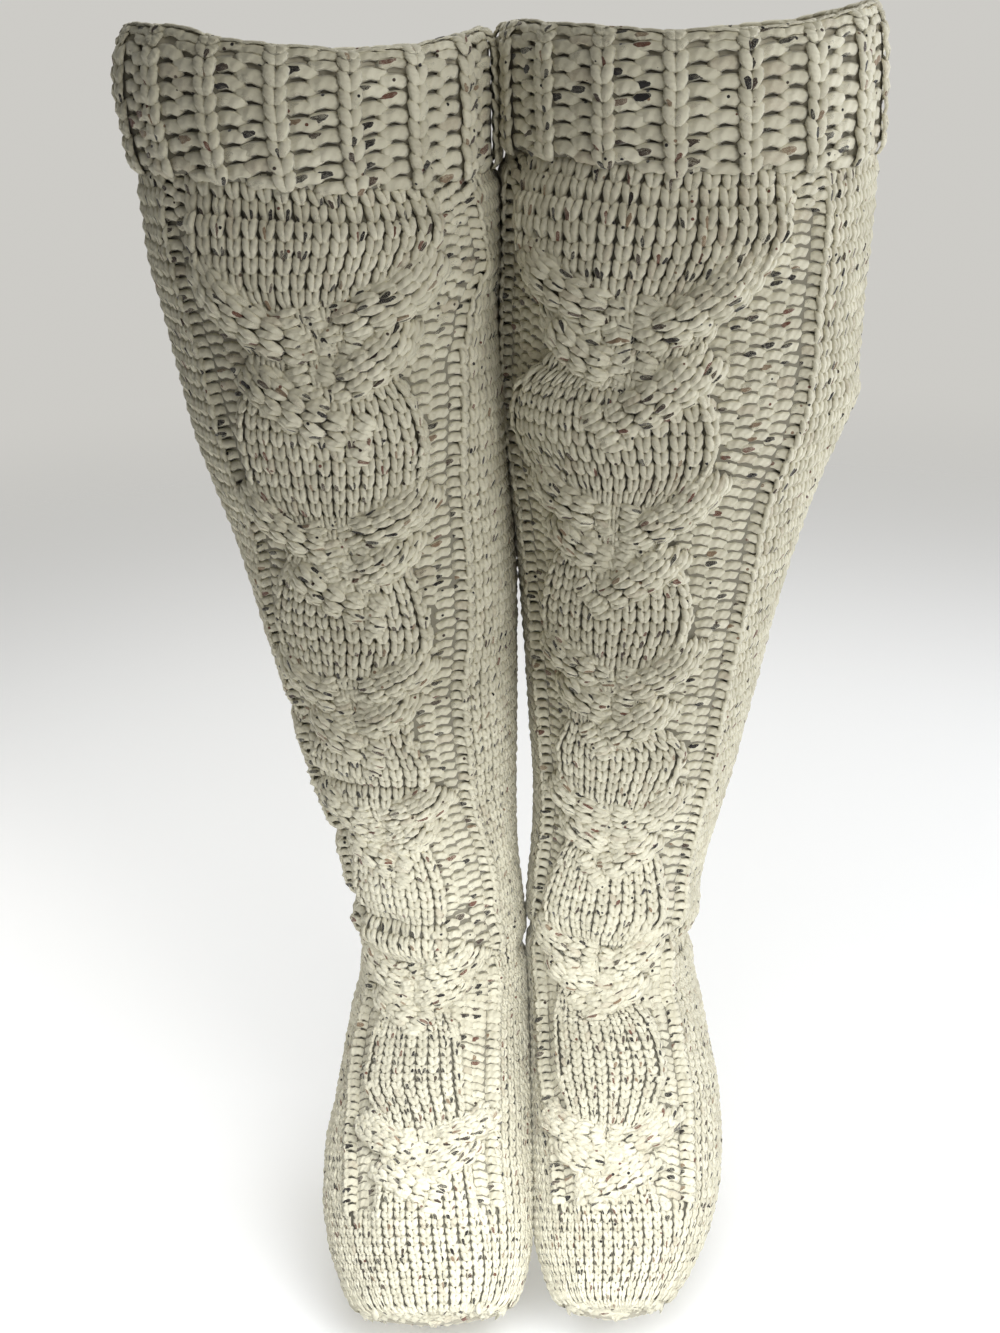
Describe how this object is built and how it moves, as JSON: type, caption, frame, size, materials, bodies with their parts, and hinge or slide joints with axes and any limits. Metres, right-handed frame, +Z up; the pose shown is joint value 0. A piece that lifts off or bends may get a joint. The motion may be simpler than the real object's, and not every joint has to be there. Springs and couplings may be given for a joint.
{
  "type": "knit stockings",
  "caption": "Pair of thick hand-knit over-the-knee stockings with ribbed turned-down cuffs and a braided cable down each front.",
  "frame": {"origin": "midway between the two cuff tops, in the plane of the folds that go round the thighs", "axes": "+Z up along the legs, -Y towards the shins and toes, +X towards the wearer's left side"},
  "size_m": [0.3766, 0.2643, 0.6521],
  "materials": {
    "right_leg_knit": "matte",
    "left_leg_knit": "matte",
    "right_cuff_rib": "matte",
    "left_cuff_rib": "matte"
  },
  "bodies": {
    "root": {"right_stocking": "right_leg_knit", "left_stocking": "left_leg_knit", "right_cuff": "right_cuff_rib", "left_cuff": "left_cuff_rib"}
  },
  "joints": []
}
